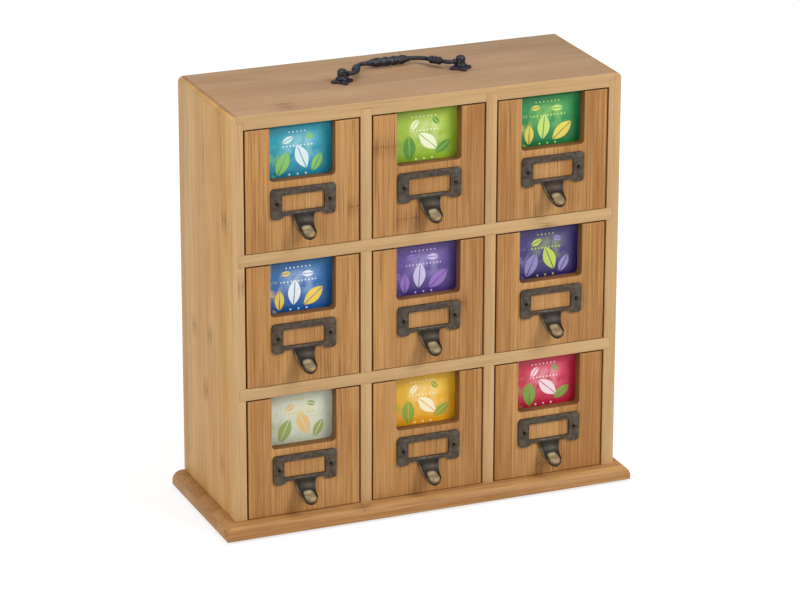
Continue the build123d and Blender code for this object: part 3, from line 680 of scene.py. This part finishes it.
def pin_mesh():
    """A domed pin head on a square shank, its head towards -Y."""
    dome = lathe("pin_head", [(0, PIN_HEAD_HEIGHT)] + [
        (PIN_HEAD * math.sin(math.radians(a)), PIN_HEAD_HEIGHT * math.cos(math.radians(a)))
        for a in (18, 36, 54, 72, 90)] + [(0, 0)], 20)
    half = PIN_SHANK / 2
    shank = skin("pin_shank", [[(half, half, z), (-half, half, z), (-half, -half, z), (half, -half, z)]
                               for z in (-PLATE_THICKNESS - PIN_DEPTH, 0.1)])
    face_front = Matrix.Translation((0, -PLATE_THICKNESS * MM, 0)) @ Matrix.Rotation(math.pi / 2, 4, "X")
    x = WINDOW_WIDTH / 2 + PIN_FROM_WINDOW
    z = -UPPER_RAIL - WINDOW_HEIGHT / 2
    places = [Matrix.Translation((s * x * MM, 0, z * MM)) @ face_front for s in (-1, 1)]
    return join_meshes("pull_pins", [(part, place) for place in places for part in (dome, shank)])


def dress_pulls(materials):
    """A cast pull and its two pins on every drawer front."""
    identity = Matrix.Identity(4)
    pull = join_meshes("label_pull", [(pull_plate_mesh(), identity), (tongue_mesh(), identity)])
    pins = pin_mesh()
    kinds = (("_pull", pull, "bronze", "bronze"), ("_pins", pins, "pin", "dark_pin"))
    for drawer in DRAWERS:
        low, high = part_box(drawer + "_pull")
        place = ((low.x + high.x) / 2, high.y, high.z)
        for suffix, mesh, finish, slot in kinds:
            piece = add_object(drawer + suffix + "_cast", mesh, materials[finish])
            piece.location = place
            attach(piece, drawer)
            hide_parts(drawer + suffix)


# --- tea sachets -------------------------------------------------------------------------
SACHET_COLOURS = {
    "top": ("teal", "lime", "green"),
    "middle": ("blue", "purple", "indigo"),
    "bottom": ("cream", "yellow", "crimson"),
}
SACHET_INKS = {                   # ground, its darker tone, motif and accent
    "teal": ((36, 176, 200), (0, 130, 160), (224, 244, 246), (140, 205, 90)),
    "lime": ((178, 208, 60), (140, 182, 30), (246, 250, 214), (84, 150, 40)),
    "green": ((40, 160, 84), (0, 118, 62), (200, 232, 120), (240, 220, 90)),
    "blue": ((40, 122, 190), (0, 82, 156), (236, 244, 250), (250, 214, 80)),
    "purple": ((98, 74, 158), (66, 46, 122), (206, 196, 234), (150, 112, 200)),
    "indigo": ((66, 54, 128), (42, 34, 96), (196, 214, 80), (150, 140, 200)),
    "cream": ((222, 228, 208), (196, 204, 182), (226, 188, 116), (150, 166, 84)),
    "yellow": ((246, 196, 34), (234, 162, 8), (255, 246, 206), (140, 168, 50)),
    "crimson": ((222, 44, 84), (186, 14, 56), (252, 226, 232), (120, 170, 60)),
}


SACHET_EDGE, SACHET_FULL = 0.3, 1.12          # half the thickness at the edge and in the middle
SACHET_PLACE = 1.2                # from the stack's faces to the middle of its outer sachets
SACHET_TOOTH, SACHET_WAVES = 0.5, 5
SACHET_SEEDS = (5, 9, 14)


def sachet_mesh(seed):
    """A filled envelope: thin crimped edges with teeth, a soft middle and a few dents."""
    random.seed(seed)
    half_width, half_height = SACHET_HALF_WIDTH - 0.1, SACHET_TOP
    columns, rows = 66, 34
    waves = [(random.uniform(0.05, 0.16), random.uniform(-0.12, 0.12), random.uniform(0, 6.28))
             for _ in range(SACHET_WAVES)]
    vertices, faces = [], []
    for side in (-1, 1):
        for r in range(rows + 1):
            for c in range(columns + 1):
                x = -half_width + 2 * half_width * c / columns
                z = -half_height + 2 * half_height * r / rows
                inner_x = smoothstep(half_width - abs(x), 1.0, 12.0)
                inner_z = smoothstep(half_height - abs(z), 5.5, 17.0)
                puff = inner_x * inner_z
                wave = sum(math.sin(kx * x + kz * z + phase + side) for kx, kz, phase in waves) / len(waves)
                depth = SACHET_EDGE + (SACHET_FULL - SACHET_EDGE) * puff * (0.86 + 0.14 * wave)
                if r in (0, rows):
                    z += SACHET_TOOTH * (1 if c % 2 else -1) * (-1 if r else 1) * 0.5
                vertices.append((x, side * depth, z))
    layer = (rows + 1) * (columns + 1)
    step = columns + 1
    for r in range(rows):
        for c in range(columns):
            a = r * step + c
            faces.append((a, a + 1, a + step + 1, a + step))
            b = a + layer
            faces.append((b, b + step, b + step + 1, b + 1))
    border = list(range(columns)) + [r * step + columns for r in range(rows)]
    border += [rows * step + c for c in range(columns, 0, -1)] + [r * step for r in range(rows, 0, -1)]
    for n, a in enumerate(border):
        b = border[(n + 1) % len(border)]
        faces.append((b, a, a + layer, b + layer))
    return mesh_from("sachet", vertices, faces)


def sachet_print(colour):
    """A generic design: leaves strewn across the panel and rows of dots."""
    ground, deep, motif, accent = [srgb(*ink) for ink in SACHET_INKS[colour]]
    kind = sorted(SACHET_INKS).index(colour) % 3
    turn, mirror = 26.0 * (kind - 1), 1 if kind else -1
    leaves = [((-11.0 * mirror, 12.5), 19.0, 9.5, 66.0 + turn),
              ((3.0 * mirror, 16.5), 19.0, 9.5, 112.0 + turn),
              ((14.0 * mirror, 11.5), 15.0, 7.0, 62.0 - turn),
              ((-7.0 * mirror, 29.0), 10.0, 4.6, 24.0 + turn),
              ((9.0 * mirror, 30.5), 8.0, 4.0, 160.0 - turn)]
    dots = [(24.6, 2.6, 0.5, 13.1 - 1.3 * kind),
            (34.4, 2.9, 0.5, 10.2 - 2.9 * (kind % 2)),
            (4.4, 6.0, 0.6, 9.1)]
    return sachet_paper("sachet_" + colour, ground, deep, motif, accent, leaves, dots)


def dress_sachets():
    """Three soft envelopes in every drawer, printed alike."""
    shapes = [sachet_mesh(seed) for seed in SACHET_SEEDS]
    for row in ROWS:
        for column, colour in zip(COLUMNS, SACHET_COLOURS[row]):
            paper = sachet_print(colour)
            drawer = f"drawer_{row}_{column}"
            low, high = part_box(drawer + "_sachets")
            first = low.y + SACHET_PLACE * MM
            pitch = (high.y - low.y - 2 * SACHET_PLACE * MM) / (len(shapes) - 1)
            for n, shape in enumerate(shapes):
                mesh = shape.copy()
                piece = add_object(f"{drawer}_sachet_{n + 1}", mesh, paper)
                piece.location = ((low.x + high.x) / 2, first + n * pitch, (low.z + high.z) / 2)
                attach(piece, drawer)
                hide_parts(drawer + "_sachets")


# --- carrying handle: drawn about the middle of the hinge axis ----------------------------
HANDLE_SPACING, HINGE_HEIGHT = 89.0, 5.6
BAIL_RADIUS, PIN_LENGTH, NECK, REACH, LEAN = 1.5, 6.0, 3.8, 24.0, 12.0
END_BEND, GRIP_BEND, REST_GAP = 4.0, 9.0, 0.3
GRIP_SQUARE, GRIP_FLAT, GRIP_TWIST, GRIP_TAPER, GRIP_FADE = 5.0, 2.7, 360.0, 5.0, 8.0
KNOT_RADIUS, KNOT_WAIST, KNOT_BEAD, KNOT_BEADS, KNOT_PLACE = 2.9, 2.0, 3.4, 3, 0.44
KNOT_FOOT = 0.8                   # over which a knot rises from the rod
ROD_STEP, ROD_SIDES = 0.6, 20     # between the rings of points along the rod; points in a ring
COLLAR_RADIUS, COLLAR_HALF = 2.15, 0.9
ROSETTE_POINT, ROSETTE_WAIST, ROSETTE_THICKNESS = 8.2, 5.5, 2.6
POST_FOOT, POST_RADIUS, POST_HEIGHT, POST_DOME, STUD_RADIUS, STUD_LENGTH = 4.6, 3.4, 9.8, 2.5, 1.4, 18.0

TURN = math.atan2(REACH, LEAN)
PIN_INNER = (HANDLE_SPACING - PIN_LENGTH) / 2
ARM_X = PIN_INNER - NECK - END_BEND * math.tan(TURN / 2)
CORNER_X = ARM_X - LEAN
GRIP_HALF = CORNER_X - GRIP_BEND * math.tan(TURN / 2) - GRIP_TAPER
DROOP = math.asin((HINGE_HEIGHT - GRIP_SQUARE * math.sqrt(0.5) - REST_GAP) / REACH)


def bail_route():
    """The rod's centre line in its own plane, from the right-hand pin to the left-hand one."""
    outer = HANDLE_SPACING / 2 + PIN_LENGTH / 2
    end_run, grip_run = END_BEND * math.tan(TURN / 2), GRIP_BEND * math.tan(TURN / 2)
    turn = math.degrees(TURN)
    right = [(outer, 0.0), (PIN_INNER, 0.0)]
    right += arc(ARM_X + end_run, END_BEND, END_BEND, 270, 270 - turn, 10)
    right += arc(CORNER_X - grip_run, REACH - GRIP_BEND, GRIP_BEND, 90 - turn, 90, 14)
    route = right + [(-x, y) for x, y in reversed(right)]
    points = []
    for (x0, y0), (x1, y1) in zip(route, route[1:]):
        steps = max(1, round(math.hypot(x1 - x0, y1 - y0) / ROD_STEP))
        points += [(x0 + (x1 - x0) * n / steps, y0 + (y1 - y0) * n / steps) for n in range(steps)]
    return points + [route[-1]]


def knot_radius(distance):
    """The rod's radius near a knot's middle: three ridged beads."""
    half = KNOT_BEAD * KNOT_BEADS / 2
    if abs(distance) > half + KNOT_FOOT:
        return BAIL_RADIUS
    inside = smoothstep(half + KNOT_FOOT - abs(distance), 0.0, KNOT_FOOT)
    phase = (distance + half) / KNOT_BEAD
    bead = abs(math.sin(math.pi * phase)) ** 0.6
    return BAIL_RADIUS + inside * (KNOT_WAIST + (KNOT_RADIUS - KNOT_WAIST) * bead - BAIL_RADIUS)


def rod_radius(point, tangent):
    """The rod's own thickness at a point: plain, or swollen by a knot or by a collar near a post."""
    knot = Vector((math.copysign(ARM_X - KNOT_PLACE * LEAN, point.x), KNOT_PLACE * REACH, 0))
    if (point - knot).length < KNOT_BEAD * KNOT_BEADS / 2 + 1:
        return knot_radius((point - knot).dot(tangent))
    collar = HANDLE_SPACING / 2 - POST_RADIUS - COLLAR_HALF - 0.2
    swell = smoothstep(COLLAR_HALF - abs(abs(point.x) - collar), 0.0, 0.6 * COLLAR_HALF)
    return BAIL_RADIUS + (COLLAR_RADIUS - BAIL_RADIUS) * swell


def bail_mesh():
    """The whole bail: one forged rod with a twisted grip, two beaded knots and two collars."""
    points = [Vector((x, y, 0)) for x, y in bail_route()]
    rings = []
    for n, point in enumerate(points):
        tangent = (points[min(n + 1, len(points) - 1)] - points[max(n - 1, 0)]).normalized()
        side = Vector((0, 0, 1)).cross(tangent)
        square = 0.0
        if point.y > REACH - 0.05:
            square = smoothstep(GRIP_HALF + GRIP_TAPER - abs(point.x), 0.0, GRIP_FADE)
        power = 2 + 2.6 * square
        radius = rod_radius(point, tangent) + (GRIP_FLAT - BAIL_RADIUS) * square
        twist = math.radians(GRIP_TWIST) * point.x / (2 * GRIP_HALF)
        ring = []
        for k in range(ROD_SIDES):
            a = 2 * math.pi * k / ROD_SIDES
            local = a - twist * square
            lobe = (abs(math.cos(local)) ** power + abs(math.sin(local)) ** power) ** (-1 / power)
            reach = min(radius * lobe, GRIP_SQUARE * math.sqrt(0.5))
            ring.append(point + side * reach * math.cos(a) + Vector((0, 0, reach * math.sin(a))))
        rings.append(ring)
    return skin("handle_bail", rings)


def rosette_mesh():
    """A four-pointed plate with hollow sides, raised towards the middle."""
    waist = ROSETTE_WAIST
    sides = 64
    levels = ((1.0, 0.0), (1.0, 1.1), (0.95, 1.55), (0.82, 1.8), (0.68, 2.2), (0.60, ROSETTE_THICKNESS))
    rings = []
    for scale, height in levels:
        ring = []
        for k in range(sides):
            a = 2 * math.pi * k / sides
            point = abs(math.cos(2 * a))
            radius = waist + (ROSETTE_POINT - waist) * point ** 3.0
            ring.append((radius * scale * math.cos(a), radius * scale * math.sin(a), height))
        rings.append(ring)
    return skin("rosette", rings)


def post_mesh():
    """A domed post with a flared foot, a collar and the stud below it."""
    foot, dome_start = ROSETTE_THICKNESS, POST_HEIGHT - POST_DOME
    profile = [(0, foot - STUD_LENGTH), (STUD_RADIUS, foot - STUD_LENGTH), (STUD_RADIUS, foot - 0.05),
               (POST_FOOT, foot - 0.05), (POST_FOOT, foot + 0.3), (4.1, foot + 0.6), (3.65, foot + 1.0),
               (POST_RADIUS - 0.05, foot + 1.5), (POST_RADIUS - 0.15, HINGE_HEIGHT),
               (POST_RADIUS, dome_start), (POST_RADIUS, dome_start + 0.3)]
    quarter = [math.radians(a) for a in (15, 30, 45, 60, 75)]
    profile += [(POST_RADIUS * math.cos(a), dome_start + 0.3 + (POST_DOME - 0.3) * math.sin(a))
                for a in quarter]
    profile.append((0, POST_HEIGHT))
    return lathe("post", profile, 28)


def dress_handle(materials):
    """Rosettes and posts on the top, and the bail lying back between them."""
    low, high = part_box("handle_posts")
    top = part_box("top_panel")[1].z
    hinge = Vector((0, (low.y + high.y) / 2, top + HINGE_HEIGHT * MM))
    spots = [Matrix.Translation((s * HANDLE_SPACING / 2 * MM, 0, 0)) for s in (-1, 1)]
    for name, make in (("rosettes", rosette_mesh), ("posts", post_mesh)):
        mesh = join_meshes(name, [(make(), spot) for spot in spots])
        piece = add_object(name + "_forged", mesh, materials["iron"])
        piece.location = (0, hinge.y, top)
        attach(piece, "cabinet")
        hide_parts("handle_" + name)
    bail = add_object("bail_forged", bail_mesh(), materials["iron"])
    bail.location = hinge
    bail.rotation_euler = (-DROOP, 0, 0)
    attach(bail, "bail")
    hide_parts("handle_bail")


# --- feet and base screws ----------------------------------------------------------------
FOOT_RADIUS = 5.5


def dress_underside(materials):
    """Four rubber feet with a rounded lower edge, and the finish of the base's screws."""
    low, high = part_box("rubber_feet")
    height = (high.z - low.z) / MM
    profile = [(0, 0), (FOOT_RADIUS - 0.6, 0), (FOOT_RADIUS - 0.2, 0.15),
               (FOOT_RADIUS, 0.6), (FOOT_RADIUS, height), (0, height)]
    foot = lathe("foot", profile, 40)
    inset = FOOT_RADIUS * MM
    corners = [(x, y) for x in (low.x + inset, high.x - inset) for y in (low.y + inset, high.y - inset)]
    feet = join_meshes("feet", [(foot, Matrix.Translation((x, y, low.z))) for x, y in corners])
    piece = add_object("feet_rubber", feet, materials["rubber"])
    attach(piece, "cabinet")
    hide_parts("rubber_feet")
    screws = frame["nodes"]["base_screws"].data.materials
    screws.clear()
    screws.append(materials["steel"])


# --- floor, lights and camera ------------------------------------------------------------
FLOOR_HALF_WIDTH = 30.0           # metres
FLOOR_DIFFUSE, FLOOR_LIFT = 0.36, 0.74
AMBIENT = 0.42
PHOTO_WIDTH = 800
FOCAL_PIXELS = 3910.0
SENSOR = 36.0
CAMERA_OFFSET = Vector((-0.8545, -2.3575, 1.0681))  # from the left side's lower front outer corner
CAMERA_YAW, CAMERA_PITCH, CAMERA_ROLL = 22.53, 19.83, 0.15


def white_for_camera(material, diffuse, lift):
    """A floor that keeps its shadows but looks near white to the camera and in reflections."""
    tree = material.node_tree
    tree.nodes.clear()
    new, link = tree.nodes.new, tree.links.new
    output, plain = new("ShaderNodeOutputMaterial"), new("ShaderNodeBsdfDiffuse")
    shaded, glow, both = new("ShaderNodeBsdfDiffuse"), new("ShaderNodeEmission"), new("ShaderNodeAddShader")
    path, choice = new("ShaderNodeLightPath"), new("ShaderNodeMixShader")
    plain.inputs[0].default_value = (0.6, 0.6, 0.6, 1)
    shaded.inputs[0].default_value = (diffuse, diffuse, diffuse, 1)
    glow.inputs["Strength"].default_value = lift
    link(shaded.outputs[0], both.inputs[0])
    link(glow.outputs[0], both.inputs[1])
    seen = path.outputs["Is Camera Ray"]
    for name in ("Is Glossy Ray", "Is Transmission Ray"):
        either = new("ShaderNodeMath")
        either.operation = "MAXIMUM"
        link(seen, either.inputs[0])
        link(path.outputs[name], either.inputs[1])
        seen = either.outputs[0]
    link(seen, choice.inputs[0])
    link(plain.outputs[0], choice.inputs[1])
    link(both.outputs[0], choice.inputs[2])
    link(choice.outputs[0], output.inputs[0])


def make_floor():
    """A wide white floor."""
    bm = bmesh.new()
    bmesh.ops.create_grid(bm, x_segments=1, y_segments=1, size=FLOOR_HALF_WIDTH)
    mesh = bpy.data.meshes.new("floor")
    bm.to_mesh(mesh)
    bm.free()
    material = bpy.data.materials.new("floor")
    material.use_nodes = True
    white_for_camera(material, FLOOR_DIFFUSE, FLOOR_LIFT)
    floor = add_object("floor", mesh, material)


def make_world():
    """Soft light from all sides, seen as white by the camera."""
    world = bpy.data.worlds.new("studio")
    bpy.context.scene.world = world
    world.use_nodes = True
    tree = world.node_tree
    tree.nodes.clear()
    new, link = tree.nodes.new, tree.links.new
    output, path = new("ShaderNodeOutputWorld"), new("ShaderNodeLightPath")
    choice = new("ShaderNodeMixShader")
    ambient, white = new("ShaderNodeBackground"), new("ShaderNodeBackground")
    ambient.inputs[0].default_value = (1.0, 0.98, 0.96, 1)
    ambient.inputs[1].default_value = AMBIENT
    white.inputs[1].default_value = 1.0
    link(path.outputs["Is Camera Ray"], choice.inputs[0])
    link(ambient.outputs[0], choice.inputs[1])
    link(white.outputs[0], choice.inputs[2])
    link(choice.outputs[0], output.inputs[0])


def area_light(name, place, size, power, target=(0, 0, 0.15)):
    """A rectangular lamp aimed at a target; metres and watts."""
    lamp = bpy.data.lights.new(name, "AREA")
    lamp.shape = "RECTANGLE"
    lamp.size, lamp.size_y = size
    lamp.energy = power
    holder = bpy.data.objects.new(name, lamp)
    bpy.context.scene.collection.objects.link(holder)
    holder.location = place
    holder.rotation_euler = (Vector(target) - Vector(place)).to_track_quat("-Z", "Y").to_euler()


def make_studio():
    make_floor()
    make_world()
    area_light("key", place=(1.3, -1.9, 1.9), size=(1.1, 1.1), power=46)
    area_light("fill", place=(-2.2, -1.0, 1.1), size=(1.6, 1.6), power=25)
    area_light("top", place=(0.0, 0.3, 2.4), size=(1.8, 1.4), power=15)


def make_camera():
    """The photograph's view: a long lens, to the left of the box and above it."""
    data = bpy.data.cameras.new("camera")
    data.sensor_width = SENSOR
    data.lens = FOCAL_PIXELS / PHOTO_WIDTH * SENSOR
    data.clip_start, data.clip_end = 0.1, 60.0
    camera = bpy.data.objects.new("camera", data)
    bpy.context.scene.collection.objects.link(camera)
    camera.location = Vector(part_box("side_panel_left")[0]) + CAMERA_OFFSET
    yaw = Matrix.Rotation(math.radians(-CAMERA_YAW), 4, "Z")
    pitch = Matrix.Rotation(math.radians(90 - CAMERA_PITCH), 4, "X")
    roll = Matrix.Rotation(math.radians(CAMERA_ROLL), 4, "Z")
    camera.rotation_euler = (yaw @ pitch @ roll).to_euler()
    bpy.context.scene.camera = camera


finishes = make_materials()
dress_boards(finishes)
dress_pulls(finishes)
dress_sachets()
dress_handle(finishes)
dress_underside(finishes)
make_studio()
make_camera()
bpy.context.scene.view_settings.view_transform = "Standard"
